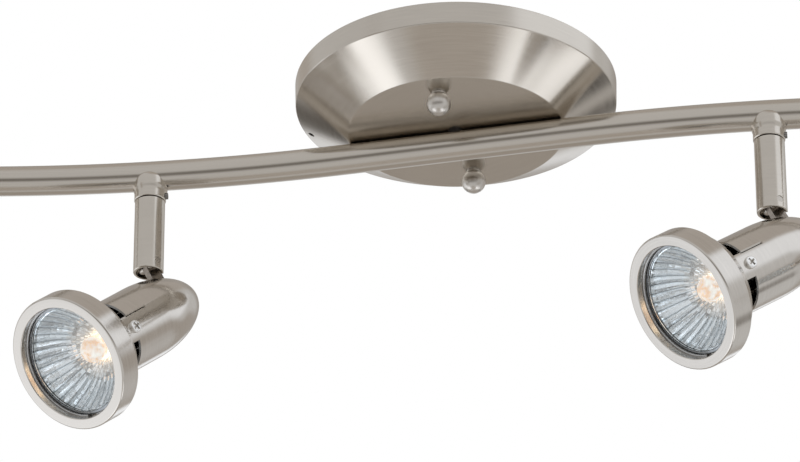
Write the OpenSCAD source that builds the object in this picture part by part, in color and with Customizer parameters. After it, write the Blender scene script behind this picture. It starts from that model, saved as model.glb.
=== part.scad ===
// Four-light ceiling track fixture: an S-curved tube bar under a round canopy,
// with swivel stems and bullet spotlights for reflector lamps.

/* [Canopy] */
// Outer diameter of the canopy where it meets the ceiling
canopy_d = 142.5; // [120:1:170]
// Height of the canopy's rim wall
canopy_rim_h = 10.4; // [6:0.1:14]
// Depth from the ceiling to the canopy's flat face
canopy_h = 24; // [20:0.1:34]
// Diameter of the canopy's flat face
canopy_flat_d = 95.5; // [80:1:110]
// Sheet thickness of the canopy
canopy_wall = 1.2; // [0.8:0.1:2]
// How far the rim wall leans in over its height
canopy_lean = 0.2; // [0:0.1:3]
// Distance between the two canopy studs
stud_spacing = 70; // [60:0.5:80]
// Diameter of a canopy stud
stud_d = 4; // [3:0.1:5]
// Diameter of a ball cap nut
ball_d = 10; // [7:0.1:12]

/* [Mounting strap] */
// Length of the mounting strap
strap_l = 110; // [104:1:118]
// Width of the mounting strap
strap_w = 20; // [14:0.5:26]
// Thickness of the mounting strap
strap_t = 2; // [1.5:0.1:3]
// Distance between the centres of the two box-screw slots
box_spacing = 88.9; // [84:0.1:92]
// Width of a box-screw slot
box_slot_w = 4.6; // [4:0.1:6]
// Length of a box-screw slot from end to end
box_slot_l = 11; // [6:0.5:12]

/* [Bar] */
// Outer diameter of the bar tube
bar_d = 13.4; // [12:0.1:16]
// Wall thickness of the bar tube
bar_wall = 1.1; // [0.8:0.1:1.6]
// Half length of the bar's straight middle
bar_straight = 50; // [30:1:80]
// Radius of the two curves of the bar
bar_r = 720; // [500:5:1200]
// Length along the bar from its middle to an inner head, half of the even spacing
inner_reach = 138.5; // [110:0.5:160]
// Length of the bar past each outer head
end_overhang = 27.5; // [14:0.5:60]

/* [Stems] */
// Outer diameter of a swivel stem
stem_d = 13.4; // [12:0.1:16]
// Wall thickness of a swivel stem
stem_wall = 1.2; // [1:0.1:1.6]
// Length of a swivel stem
stem_l = 36; // [28:0.1:50]
// Drop from the bar's axis to the seam under a boss
boss_drop = 13; // [11:0.1:18]
// Diameter of a boss at the seam
boss_d = 14.1; // [13:0.1:17]
// Diameter of a boss at its bulge against the bar
boss_bulge_d = 15.4; // [14:0.1:19]
// Height of the tilt axis above the stem's lower rim
pivot_up = 4; // [3.6:0.1:6]
// Diameter of the tilt pivot screw
pivot_d = 3; // [2.5:0.1:4]

/* [Heads] */
// Outer diameter of the front bezel
bezel_d = 60.4; // [56:0.1:66]
// Diameter of the bezel's opening
bezel_open_d = 50.6; // [46:0.1:54]
// Depth of the bezel's straight side wall
bezel_h = 10.8; // [8:0.1:16]
// Outer diameter of the bullet housing
housing_d = 34; // [32.5:0.1:40]
// Wall thickness of the bullet housing
housing_wall = 1; // [0.8:0.1:1.4]
// Distance from the bezel's face to the rear edge of the vent slots
vent_back = 30; // [27:0.1:36]
// Distance from the bezel's face to the start of the dome
dome_start = 52; // [44:0.5:70]
// Length of the dome
dome_l = 36.4; // [22:0.1:40]
// Distance from the bezel's face to the tilt axis
pivot_back = 74.6; // [66:0.1:80]
// Height of the tilt axis above the head's own axis
pivot_off = 20.9; // [20.6:0.1:25]
// Depth of the lamp's glass behind the bezel's face
lamp_recess = 4.8; // [3:0.1:8]

/* [Aim at rest] */
// Pan of heads 1 to 4 at rest in degrees, 0 aims along -X
pan = [54, 55, 42.5, 44]; // [-90:0.5:90]
// Tilt of heads 1 to 4 at rest in degrees up from straight down
tilt = [49, 49.5, 54, 53]; // [12:0.5:90]

/* [Hidden] */
$fn = 64;
// Clearances between pieces
fit = 0.05;
run = 0.05;
seam = 0.2;
gap = 0.1;
free = 0.3;
// Heights
flat_z = -canopy_h;
bar_z = flat_z - gap - bar_d / 2;
seam_z = bar_z - boss_drop;
stem_top = seam_z - seam;
rim_z = stem_top - stem_l;
pivot_z = rim_z + pivot_up;
// Canopy and strap fixings
stud_r = stud_d / 2;
ball_neck_r = 3;
ball_drop = 5.1;
cone_screw_r = 1.4;
cone_screw_at = 0.14;
nipple_r = 4;
nipple_bore = 2.8;
nipple_top = flat_z + canopy_wall + 6.2;
nut_h = 3.6;
nut_af = 12;
washer_r = 8;
washer_t = 1;
// Bar
outer_reach = 3 * inner_reach;
bar_reach = outer_reach + end_overhang;
bar_bore = bar_d / 2 - bar_wall;
cap_t = 2.4;
// Swivel inside each boss and stem
spigot_r = 3.5;
spigot_bore = 2.3;
spigot_in = 4.9;
disc_t = 2.5;
flange_t = 1.5;
flange_r = 4.5;
tooth_w = 1;
stem_bore = stem_d / 2 - stem_wall;
flange_z = stem_top - disc_t - gap;
set_screw_r = 1.5;
// Lug and tilt pivot
pivot_r = pivot_d / 2;
lug_t = 3;
lug_r = 3.3;
lug_foot = 12.5;
// Head
housing_r = housing_d / 2;
housing_in = housing_r - housing_wall;
collar_back = 21.4;
leg_angle = 41;
tongue_r = housing_in - gap;
tongue_t = 1.1;
tongue_back = vent_back + 5;
screw_x = vent_back;
screw_r = 1.45;
screw_head_r = 2.75;
screw_head_h = 1.9;
// Lamp
lamp_r = 24.9;
lamp_rim = lamp_recess + 1.9;
lens_r = 23.6;
lens_t = 1.5;
neck_r = 8.6;
lamp_l = 38;
lamp_floor = 26;
base_back = lamp_recess + lamp_l;
pin_half = 2.65;
pin_r = 0.75;
pin_l = 7;
capsule_r = 4.6;
capsule_front = 14;
capsule_foot = 2.9;
socket_front = base_back + gap;
socket_l = 12;
socket_r = 9;

NICKEL = [0.66, 0.65, 0.62];
BRIGHT = [0.80, 0.80, 0.79];
STEEL = [0.58, 0.58, 0.58];
ZINC = [0.70, 0.70, 0.66];
DARK = [0.16, 0.15, 0.14];
GLASS = [0.80, 0.86, 0.90];
SILVERED = [0.62, 0.70, 0.76];
WARM = [1.00, 0.88, 0.70];
CERAMIC = [0.90, 0.88, 0.82];

// Length along the bar of head i, negative on the left
function head_reach(i) = [-outer_reach, -inner_reach, inner_reach, outer_reach][i - 1];

// Turn of the bar's tangent at a length s along it
function bar_turn(s) = max(abs(s) - bar_straight, 0) / bar_r * 180 / PI;

// Point of the bar's axis at a length s along it, seen from above
function bar_point(s) = let (a = bar_turn(s)) sign(s) * [
    min(abs(s), bar_straight) + bar_r * sin(a),
    bar_r * (1 - cos(a))
];

// Outline points of a dome of radius r and length l that starts at height z
function dome(r, l, z, n = 24) = [for (i = [0 : n]) [r * cos(90 * i / n), z + l * sin(90 * i / n)]];

// Puts children at the bar's axis at length s, with +X along the bar
module at_bar(s) {
    p = bar_point(s);
    translate([p.x, p.y, bar_z])
        rotate([0, 0, bar_turn(s)])
            children();
}

// Puts children at the tilt axis of head i, panned with its stem
module at_stem(i) {
    p = bar_point(head_reach(i));
    translate([p.x, p.y, pivot_z])
        rotate([0, 0, pan[i - 1]])
            children();
}

// Puts children in head i's frame: the face at z = 0, looking down -Z
module at_head(i) {
    at_stem(i)
        rotate([0, tilt[i - 1], 0])
            translate([pivot_off, 0, -pivot_back])
                children();
}

// A round rod that follows the whole bar, dy to its side and dz from its axis
module bar_rod(r, dy = 0, dz = 0, trim = 0) {
    sweep_angle = bar_turn(bar_reach - trim);
    translate([0, 0, bar_z + dz]) {
        translate([-bar_straight, dy, 0])
            rotate([0, 90, 0])
                cylinder(r = r, h = 2 * bar_straight);
        translate([bar_straight, bar_r, 0])
            rotate([0, 0, -90])
                rotate_extrude(angle = sweep_angle, $fn = 360)
                    translate([bar_r - dy, 0])
                        circle(r = r, $fn = 64);
        translate([-bar_straight, -bar_r, 0])
            rotate([0, 0, 90])
                rotate_extrude(angle = sweep_angle, $fn = 360)
                    translate([bar_r + dy, 0])
                        circle(r = r, $fn = 64);
    }
}

// A hexagonal nut with a bore of radius r, standing on z = 0
module hex_nut(af, h, r) {
    difference() {
        intersection() {
            cylinder(d = af / cos(30), h = h, $fn = 6);
            cylinder(r1 = af / 2 + 0.2, r2 = af / 2 + 0.2 + h, h = h);
            cylinder(r1 = af / 2 + 0.2 + h, r2 = af / 2 + 0.2, h = h);
        }
        translate([0, 0, -1])
            cylinder(r = r, h = h + 2);
    }
}

// A ring between radii r1 and r2, standing on z = 0
module ring(r1, r2, h) {
    difference() {
        cylinder(r = r2, h = h);
        translate([0, 0, -1])
            cylinder(r = r1, h = h + 2);
    }
}

module canopy() {
    rim_r = canopy_d / 2;
    low_r = rim_r - canopy_lean;
    face_r = canopy_flat_d / 2;
    slope = atan2(canopy_h - canopy_rim_h, low_r - face_r);
    inset = canopy_wall * tan(slope / 2);
    color(NICKEL)
    difference() {
        rotate_extrude($fn = 128)
            polygon([
                [0, flat_z],
                [face_r, flat_z],
                [low_r, -canopy_rim_h],
                [rim_r, -0.4],
                [rim_r, 0],
                [rim_r - canopy_wall, 0],
                [low_r - canopy_wall, -canopy_rim_h + 0.3],
                [face_r - inset, flat_z + canopy_wall],
                [0, flat_z + canopy_wall],
            ]);
        translate([0, 0, flat_z - 1])
            cylinder(r = nipple_r + 0.2, h = canopy_wall + 2);
        for (s = [-1, 1])
            translate([0, s * stud_spacing / 2, flat_z - 1])
                cylinder(r = stud_r + 0.2, h = canopy_wall + 2);
        cone_screw_place()
            translate([0, 0, -4])
                cylinder(r = cone_screw_r + fit, h = 8);
    }
}

// Puts children on the cone near the rim, with +Z square out of the sheet
module cone_screw_place() {
    low_r = canopy_d / 2 - canopy_lean;
    run_in = low_r - canopy_flat_d / 2;
    drop = canopy_h - canopy_rim_h;
    rotate([0, 0, 175])
        translate([low_r - run_in * cone_screw_at, 0, -canopy_rim_h - drop * cone_screw_at])
            rotate([0, 180 - atan2(drop, run_in), 0])
                children();
}

module cone_screw() {
    color(DARK)
    cone_screw_place()
        difference() {
            translate([0, 0, -5])
                cylinder(r = cone_screw_r, h = 4.7);
            translate([0, 0, -1.6])
                cylinder(d = 1.5 / cos(30), h = 2, $fn = 6);
        }
}

module mounting_strap() {
    color(ZINC)
    difference() {
        translate([-strap_w / 2, -strap_l / 2, -strap_t])
            cube([strap_w, strap_l, strap_t]);
        for (s = [-1, 1]) {
            translate([0, s * stud_spacing / 2, -strap_t - 1])
                cylinder(r = stud_r + fit, h = strap_t + 2);
            for (t = [-1, 1])
                translate([0, s * box_spacing / 2 + t * (box_slot_l - box_slot_w) / 2, -strap_t - 1])
                    cylinder(d = box_slot_w, h = strap_t + 2);
            translate([-box_slot_w / 2, s * box_spacing / 2 - (box_slot_l - box_slot_w) / 2, -strap_t - 1])
                cube([box_slot_w, box_slot_l - box_slot_w, strap_t + 2]);
        }
        translate([0, 0, -strap_t - 1])
            cylinder(r = 6, h = strap_t + 2);
    }
}

module canopy_studs() {
    color(ZINC)
    for (s = [-1, 1])
        translate([0, s * stud_spacing / 2, flat_z - 3.4])
            cylinder(r = stud_r, h = canopy_h + 3.3);
}

module ball_nuts() {
    ball_r = ball_d / 2;
    color(BRIGHT)
    for (s = [-1, 1])
        translate([0, s * stud_spacing / 2, flat_z - gap])
            difference() {
                union() {
                    translate([0, 0, -ball_drop])
                        sphere(r = ball_r);
                    translate([0, 0, -2])
                        cylinder(r = ball_neck_r, h = 2);
                }
                translate([0, 0, -4])
                    cylinder(r = stud_r + fit, h = 5);
            }
}

module centre_nipple() {
    foot = bar_z + 3;
    color(ZINC)
    translate([0, 0, foot])
        ring(nipple_bore, nipple_r, nipple_top - foot);
}

module nipple_nut() {
    seat = flat_z + canopy_wall;
    color(ZINC) {
        translate([0, 0, seat])
            ring(nipple_r + fit, washer_r, washer_t);
        translate([0, 0, seat + washer_t])
            hex_nut(nut_af, nut_h, nipple_r + fit);
    }
}

module bar_tube() {
    color(NICKEL)
    difference() {
        bar_rod(bar_d / 2);
        bar_rod(bar_bore);
        translate([0, 0, bar_z])
            cylinder(r = nipple_r + fit, h = bar_d);
        for (i = [1 : 4])
            at_bar(head_reach(i))
                translate([0, 0, -bar_d])
                    cylinder(r = spigot_bore, h = bar_d);
    }
}

module end_caps() {
    edge = 1;
    color(BRIGHT)
    for (s = [-1, 1])
        at_bar(s * bar_reach)
            rotate([0, s * 90, 0])
                rotate_extrude()
                    polygon(concat(
                        [[0, -5], [bar_bore - fit - 0.3, -5], [bar_bore - fit, -4.7],
                        [bar_bore - fit, 0], [bar_d / 2, 0]],
                        [for (a = [0 : 15 : 90]) [
                            bar_d / 2 - edge + edge * cos(a),
                            cap_t - edge + edge * sin(a)
                        ]],
                        [[0, cap_t]]
                    ));
}

module stem_bosses() {
    neck_r = boss_d / 2;
    bulge = boss_bulge_d / 2 - neck_r;
    color(NICKEL)
    for (i = [1 : 4])
        difference() {
            at_bar(head_reach(i))
                difference() {
                    rotate_extrude()
                        polygon(concat(
                            [[0, -boss_drop], [neck_r - 0.3, -boss_drop], [neck_r, -boss_drop + 0.3]],
                            [for (a = [0 : 30 : 180]) [
                                neck_r + bulge * (1 - cos(a)) / 2,
                                -bar_d / 2 - 2.9 + 3.2 * a / 180
                            ]],
                            [for (a = [0 : 15 : 90]) [
                                neck_r + bulge - 2.4 * (1 - cos(a)),
                                -4.2 + 3.6 * sin(a)
                            ]],
                            [[0, -0.6]]
                        ));
                    translate([0, 0, -boss_drop - 1])
                        cylinder(r = spigot_r + fit, h = spigot_in + 1);
                    translate([0, 0, -boss_drop - 1])
                        cylinder(r = spigot_bore, h = boss_drop);
                    translate([spigot_r, 0, -boss_drop + 2.5])
                        rotate([0, 90, 0])
                            cylinder(r = set_screw_r + fit, h = 6);
                }
            bar_rod(bar_d / 2 + 0.02);
        }
}

module swivel_spigots() {
    color(ZINC)
    for (i = [1 : 4]) {
        p = bar_point(head_reach(i));
        translate([p.x, p.y, 0])
            rotate([0, 0, pan[i - 1]])
                difference() {
                    union() {
                        translate([0, 0, flange_z - flange_t])
                            cylinder(r = spigot_r, h = seam_z + spigot_in - gap - flange_z + flange_t);
                        translate([0, 0, flange_z - flange_t])
                            cylinder(r = flange_r, h = flange_t);
                        translate([0, -tooth_w / 2, flange_z - flange_t])
                            cube([stem_bore - free, tooth_w, flange_t]);
                    }
                    translate([0, 0, flange_z - flange_t - 1])
                        cylinder(r = spigot_bore, h = 40);
                }
    }
}

module boss_set_screws() {
    color(DARK)
    for (i = [1 : 4])
        at_bar(head_reach(i))
            translate([spigot_r + gap, 0, -boss_drop + 2.5])
                rotate([0, 90, 0])
                    difference() {
                        cylinder(r = set_screw_r, h = boss_d / 2 - spigot_r + 0.8);
                        translate([0, 0, boss_d / 2 - spigot_r - 1])
                            cylinder(d = 1.5 / cos(30), h = 4, $fn = 6);
                    }
}

// Turns of the three leads about the nipple
lead_turns = [0, 180, 90];
lead_colours = [DARK, CERAMIC, [0.20, 0.45, 0.20]];
lead_r = 0.9;
lead_up = 12.5;
lead_bend = 5;
lead_run = 9;
// How far the leads in the bar pass each outer head
lead_past = 11.5;

module supply_leads() {
    foot = bar_z - 0.6;
    for (k = [0 : 2])
        color(lead_colours[k])
        rotate([0, 0, lead_turns[k]])
            translate([1.55, 0, 0]) {
                translate([0, 0, foot])
                    cylinder(r = lead_r, h = -lead_up - lead_bend - foot);
                translate([lead_bend, 0, -lead_up - lead_bend])
                    rotate([90, 0, 0])
                        rotate([0, 0, 90])
                            rotate_extrude(angle = 90)
                                translate([lead_bend, 0])
                                    circle(r = lead_r, $fn = 24);
                translate([lead_bend, 0, -lead_up])
                    rotate([0, 90, 0])
                        cylinder(r = lead_r, h = lead_run);
            }
}

module wire_connectors() {
    color([0.85, 0.45, 0.12])
    for (k = [0 : 2])
        rotate([0, 0, lead_turns[k]])
            translate([1.55 + lead_bend + 3, 0, -lead_up])
                rotate([0, 90, 0])
                    difference() {
                        rotate_extrude()
                            polygon([[0, 0], [5, 0], [5.2, 2], [4.6, 11], [3.8, 15.4], [3, 16], [0, 16]]);
                        translate([0, 0, -1])
                            cylinder(r = lead_r + fit, h = lead_run - 3 + 1 + gap);
                    }
}

module bar_leads() {
    color(DARK)
    for (s = [-1, 1])
        bar_rod(0.8, dy = s * 1.3, dz = -bar_bore + 1.4, trim = end_overhang - lead_past);
}

module swivel_stem(i) {
    wall_r = stem_d / 2;
    up = stem_top - pivot_z;
    color(NICKEL)
    at_stem(i)
        difference() {
            union() {
                difference() {
                    translate([0, 0, -pivot_up])
                        cylinder(r = wall_r, h = stem_l - 0.5);
                    translate([0, 0, -pivot_up - 1])
                        cylinder(r = stem_bore, h = stem_l - disc_t + 1);
                }
                translate([0, 0, up - 0.5])
                    cylinder(r1 = wall_r, r2 = wall_r - 0.5, h = 0.5);
                intersection() {
                    translate([-wall_r + 0.2, -tooth_w / 2, up - disc_t - 2])
                        cube([wall_r - 0.2 - flange_r - 0.15, tooth_w, 2]);
                    translate([0, 0, -pivot_up])
                        cylinder(r = wall_r - 0.2, h = stem_l);
                }
            }
            translate([0, 0, up - disc_t - 1])
                cylinder(r = spigot_r + run, h = disc_t + 2);
            // Slot at the back that the lug swings up into
            translate([0, -lug_t / 2 - free, -pivot_up - 1])
                cube([wall_r + 1, lug_t + 2 * free, pivot_up + lug_r + free + 1]);
            // Scallop at the slot's foot that the dome swings past
            translate([0, 0, -pivot_up])
                rotate([0, 90, 0])
                    cylinder(r = lug_t / 2 + free + 2, h = wall_r + 1);
            // Countersunk hole for the pivot screw
            rotate([-90, 0, 0]) {
                translate([0, 0, -10])
                    cylinder(r = pivot_r + fit, h = 20);
                translate([0, 0, wall_r - 1.1])
                    cylinder(r1 = pivot_r + fit, r2 = pivot_r + fit + 1.6, h = 1.6);
            }
            // Notch in the top edge
            rotate([0, 0, bar_turn(head_reach(i)) - pan[i - 1]])
                translate([wall_r - 0.6, -0.6, up - 1.6])
                    cube([2, 1.2, 3]);
        }
}

module pivot_screw(i) {
    wall_r = stem_d / 2;
    spacer = stem_bore - 1.1 - lug_t / 2;
    color(BRIGHT)
    at_stem(i)
        rotate([-90, 0, 0]) {
            difference() {
                union() {
                    translate([0, 0, -wall_r + 0.3])
                        cylinder(r = pivot_r, h = 2 * wall_r - 1.1);
                    translate([0, 0, wall_r - 1.05])
                        cylinder(r1 = pivot_r, r2 = pivot_r + 0.7, h = 0.7);
                }
                translate([0, 0, wall_r - 0.9])
                    linear_extrude(2)
                        for (a = [0, 90])
                            rotate(a)
                                square([2.2, 0.5], center = true);
            }
            for (s = [0, 1])
                mirror([0, 0, s])
                    translate([0, 0, lug_t / 2 + gap])
                        ring(pivot_r + fit, 3, spacer);
        }
}

// Outline of the housing's outside, or of its inside when set in by wall
module housing_outline(r, l, front) {
    polygon(concat([[0, front], [r, front]], dome(r, l, dome_start)));
}

// The lug's plate, from the pivot down into the dome
module lug_plate(r, t, foot) {
    translate([-pivot_off, t / 2, pivot_back])
        rotate([90, 0, 0])
            linear_extrude(t) {
                circle(r = r, $fn = 48);
                translate([0, -r])
                    square([foot, 2 * r]);
            }
}

module pivot_lug(i) {
    color(BRIGHT)
    at_head(i)
        difference() {
            union() {
                lug_plate(lug_r, lug_t, lug_foot);
                intersection() {
                    translate([-pivot_off + 8, -5, pivot_back - 5.5])
                        cube([lug_foot - 6, 10, 11]);
                    rotate_extrude()
                        housing_outline(housing_in - gap, dome_l - housing_wall - gap, vent_back);
                }
            }
            translate([-pivot_off, 10, pivot_back])
                rotate([90, 0, 0])
                    cylinder(r = pivot_r + run, h = 20);
        }
}

// Sectors between the two side legs, from radius r1 to r2 and height z1 to z2
module between_legs(angle, r1, r2, z1, z2) {
    for (s = [0, 180])
        rotate([0, 0, s - 90 + angle / 2])
            translate([0, 0, z1])
                rotate_extrude(angle = 180 - angle)
                    translate([r1, 0])
                        square([r2 - r1, z2 - z1]);
}

module housing(i) {
    front = collar_back + gap;
    color(BRIGHT)
    at_head(i)
        difference() {
            rotate_extrude()
                housing_outline(housing_r, dome_l, front);
            rotate_extrude()
                housing_outline(housing_in, dome_l - housing_wall, front - 1);
            // Vent slots above and below the legs
            between_legs(leg_angle, housing_in - 2, housing_r + 2, front - 1, vent_back);
            for (s = [-1, 1]) {
                // Screw hole in each leg
                translate([0, 0, screw_x])
                    rotate([-90 * s, 0, 0])
                        cylinder(r = screw_r + 0.1, h = housing_r + 1);
                // Relief slit beside each leg
                rotate([0, 0, s * (90 + leg_angle / 2)])
                    translate([housing_in - 1, -0.3, vent_back - 1])
                        cube([4, 0.6, 13]);
            }
            lug_plate(lug_r + fit, lug_t + 2 * fit, lug_foot);
            // Lead hole ahead of the lug
            translate([-10, 0, pivot_back - 9])
                rotate([0, -90, 0])
                    cylinder(r = 1.8, h = 12);
        }
}

module bezel(i) {
    out_r = bezel_d / 2;
    in_r = bezel_open_d / 2;
    color(BRIGHT)
    at_head(i)
        difference() {
            rotate_extrude($fn = 96)
                polygon(concat(
                    [[in_r, 0.25], [in_r + 0.25, 0], [out_r - 0.7, 0]],
                    [for (a = [-60 : 30 : 0]) [out_r - 0.7 + 0.7 * cos(a), 0.7 + 0.7 * sin(a)]],
                    [[out_r, bezel_h - 0.4], [out_r - 0.4, bezel_h]],
                    [for (a = [60 : -20 : 0]) [
                        housing_r + (out_r - 2.4 - housing_r) * sin(a),
                        bezel_h - 0.6 + (collar_back - bezel_h - 0.6) * cos(a)
                    ]],
                    [[housing_r, collar_back], [tongue_r, collar_back], [tongue_r, tongue_back]],
                    [[tongue_r - tongue_t, tongue_back], [tongue_r - tongue_t, collar_back - 1]],
                    [for (a = [0 : 20 : 60]) [
                        housing_r - 1 + (out_r - 3.8 - housing_r) * sin(a),
                        bezel_h - 1.9 + (collar_back - bezel_h - 0.9) * cos(a)
                    ]],
                    [[lamp_r - 1.6, lamp_rim + 2.4], [lamp_r - 1.6, lamp_rim + gap]],
                    [[lamp_r + gap, lamp_rim + gap], [lamp_r + gap, lamp_recess - 0.2]],
                    [[in_r + 0.6, lamp_recess - 0.2], [in_r + 0.6, lamp_recess - 1.5]],
                    [[in_r, lamp_recess - 1.5]]
                ));
            // The rear wall is open between the two tongues
            between_legs(leg_angle - 8, tongue_r - 3, housing_r + 2, collar_back - 0.4, tongue_back + 1);
            for (s = [-1, 1])
                translate([0, 0, screw_x])
                    rotate([-90 * s, 0, 0])
                        cylinder(r = screw_r + fit, h = housing_r + 1);
        }
}

module bezel_screws(i) {
    color(BRIGHT)
    at_head(i)
        for (s = [-1, 1])
            translate([0, 0, screw_x])
                rotate([-90 * s, 0, 0])
                    translate([0, 0, housing_r])
                        difference() {
                            union() {
                                translate([0, 0, -3.2])
                                    cylinder(r = screw_r, h = 3.3);
                                rotate_extrude()
                                    polygon(concat(
                                        [[0, 0], [screw_head_r, 0]],
                                        [for (a = [20 : 14 : 90]) [
                                            screw_head_r * cos(a) + 0.15,
                                            screw_head_h * sin(a)
                                        ]],
                                        [[0, screw_head_h]]
                                    ));
                            }
                            translate([0, 0, screw_head_h - 1.1])
                                linear_extrude(2)
                                    for (a = [20, 110])
                                        rotate(a)
                                            square([3, 0.65], center = true);
                        }
}

module retaining_ring(i) {
    color(STEEL)
    at_head(i)
        translate([0, 0, lamp_recess - 0.85])
            rotate([0, 0, 6])
                rotate_extrude(angle = 348, $fn = 96)
                    translate([bezel_open_d / 2 - 0.1, 0])
                        circle(r = 0.55, $fn = 24);
}

module lamp_reflector(i) {
    bowl = [[22.4, 3.4], [20.2, 7], [17.4, 11], [14, 15], [11, 18.4], [neck_r, 21.5]];
    color(SILVERED)
    at_head(i)
        translate([0, 0, lamp_recess]) {
            difference() {
                rotate_extrude($fn = 96)
                    polygon(concat(
                        [[lens_r + 0.1, 0], [lamp_r, 0], [lamp_r, 1.9], [lamp_r - 1.7, 2]],
                        bowl,
                        [[neck_r, lamp_l], [0, lamp_l], [0, lamp_floor], [6, lamp_floor]],
                        [for (k = [5 : -1 : 0]) [bowl[k].x - 1.5, bowl[k].y - 0.9]],
                        [[22.4, lens_t + 0.2], [lens_r + 0.1, lens_t + 0.2]]
                    ));
                translate([-20, neck_r - 1.8, lamp_floor - 1.5])
                    cube([40, 10, 20]);
                translate([-20, -neck_r - 8.2, lamp_floor - 1.5])
                    cube([40, 10, 20]);
            }
            for (s = [-1, 1])
                translate([s * pin_half, 0, lamp_l - 0.5])
                    cylinder(r = pin_r, h = pin_l + 0.5, $fn = 24);
        }
}

module lamp_lens(i) {
    color(GLASS)
    at_head(i)
        translate([0, 0, lamp_recess + 0.1])
            cylinder(r = lens_r, h = lens_t, $fn = 96);
}

module lamp_capsule(i) {
    waist = lamp_floor - gap - capsule_foot;
    color(WARM)
    at_head(i)
        translate([0, 0, lamp_recess]) {
            translate([0, 0, capsule_front])
                sphere(r = capsule_r);
            translate([0, 0, capsule_front])
                cylinder(r = capsule_r, h = waist - capsule_front);
            translate([0, 0, waist])
                cylinder(r1 = capsule_r, r2 = 2.4, h = capsule_foot);
        }
}

module socket(i) {
    color(CERAMIC)
    at_head(i)
        translate([0, 0, socket_front])
            difference() {
                union() {
                    cylinder(r = socket_r, h = socket_l);
                    intersection() {
                        translate([-4, -20, 5])
                            cube([8, 40, 2]);
                        cylinder(r = housing_in - gap, h = 20);
                    }
                }
                for (s = [-1, 1])
                    translate([s * pin_half, 0, -1])
                        cylinder(r = pin_r + fit, h = pin_l + 1.5, $fn = 24);
            }
}

canopy();
cone_screw();
mounting_strap();
canopy_studs();
ball_nuts();
centre_nipple();
nipple_nut();
bar_tube();
end_caps();
stem_bosses();
swivel_spigots();
boss_set_screws();
supply_leads();
wire_connectors();
bar_leads();
swivel_stem(1);  // stem_1
pivot_screw(1);  // pivot_screw_1
pivot_lug(1);  // pivot_lug_1
housing(1);  // housing_1
socket(1);  // socket_1
bezel(1);  // bezel_1
bezel_screws(1);  // bezel_screws_1
retaining_ring(1);  // retaining_ring_1
lamp_reflector(1);  // lamp_reflector_1
lamp_lens(1);  // lamp_lens_1
lamp_capsule(1);  // lamp_capsule_1
swivel_stem(2);  // stem_2
pivot_screw(2);  // pivot_screw_2
pivot_lug(2);  // pivot_lug_2
housing(2);  // housing_2
socket(2);  // socket_2
bezel(2);  // bezel_2
bezel_screws(2);  // bezel_screws_2
retaining_ring(2);  // retaining_ring_2
lamp_reflector(2);  // lamp_reflector_2
lamp_lens(2);  // lamp_lens_2
lamp_capsule(2);  // lamp_capsule_2
swivel_stem(3);  // stem_3
pivot_screw(3);  // pivot_screw_3
pivot_lug(3);  // pivot_lug_3
housing(3);  // housing_3
socket(3);  // socket_3
bezel(3);  // bezel_3
bezel_screws(3);  // bezel_screws_3
retaining_ring(3);  // retaining_ring_3
lamp_reflector(3);  // lamp_reflector_3
lamp_lens(3);  // lamp_lens_3
lamp_capsule(3);  // lamp_capsule_3
swivel_stem(4);  // stem_4
pivot_screw(4);  // pivot_screw_4
pivot_lug(4);  // pivot_lug_4
housing(4);  // housing_4
socket(4);  // socket_4
bezel(4);  // bezel_4
bezel_screws(4);  // bezel_screws_4
retaining_ring(4);  // retaining_ring_4
lamp_reflector(4);  // lamp_reflector_4
lamp_lens(4);  // lamp_lens_4
lamp_capsule(4);  // lamp_capsule_4
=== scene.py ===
"""Four-light ceiling track fixture: an S-curved tube bar under a round canopy,
with swivel stems and bullet spotlights that hold reflector lamps."""
from math import atan2, cos, degrees, hypot, radians, sin

import bpy
from mathutils import Matrix, Vector


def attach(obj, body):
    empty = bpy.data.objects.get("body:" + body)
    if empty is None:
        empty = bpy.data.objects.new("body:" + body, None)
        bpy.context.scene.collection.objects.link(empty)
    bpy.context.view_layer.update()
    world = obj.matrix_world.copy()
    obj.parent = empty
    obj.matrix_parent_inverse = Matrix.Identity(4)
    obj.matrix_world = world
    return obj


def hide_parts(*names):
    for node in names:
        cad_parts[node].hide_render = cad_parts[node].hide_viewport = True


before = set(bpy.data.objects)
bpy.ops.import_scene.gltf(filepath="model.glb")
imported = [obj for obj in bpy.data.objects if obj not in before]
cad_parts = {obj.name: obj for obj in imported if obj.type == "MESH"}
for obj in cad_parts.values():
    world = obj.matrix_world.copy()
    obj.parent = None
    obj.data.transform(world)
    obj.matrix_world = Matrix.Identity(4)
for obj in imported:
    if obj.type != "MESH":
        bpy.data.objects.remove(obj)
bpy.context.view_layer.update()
scene = bpy.context.scene

# ---------------------------------------------------------------- sizes, in mm
MM = 0.001
CANOPY_R = 71.25
CANOPY_LOW_R = 71.05
CANOPY_RIM_H = 10.4
CANOPY_H = 24.0
CANOPY_FACE_R = 47.75
CANOPY_WALL = 1.2
CONE_HOLE_R = 1.5
CONE_HOLE_AT = 0.14
CONE_HOLE_TURN = 175.0
STUD_HALF = 35.0
# The ball nuts show 0.4 larger in radius than their solids
BALL_R = 5.4
BAR_R = 6.7
BAR_BORE = 5.6
BAR_STRAIGHT = 50.0
BAR_CURVE = 720.0
HEADS = (1, 2, 3, 4)
HEAD_GAP = 277.0
HEAD_REACH = {i: (i - 2.5) * HEAD_GAP for i in HEADS}
BAR_REACH = 1.5 * HEAD_GAP + 27.5
CAP_T = 2.4
STEM_R = 6.7
STEM_BORE = 5.5
STEM_L = 36.0
BOSS_DROP = 13.0
BOSS_R = 7.05
BOSS_BULGE_R = 7.7
PIVOT_UP = 4.0
PIVOT_R = 1.5
BEZEL_R = 30.2
OPENING_R = 25.3
BEZEL_H = 10.8
HOUSING_R = 17.0
HOUSING_IN = 16.0
COLLAR_BACK = 21.4
VENT_BACK = 30.0
LEG_HALF_ANGLE = 20.5
DOME_START = 52.0
DOME_L = 36.4
PIVOT_BACK = 74.6
PIVOT_OFF = 20.9
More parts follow.
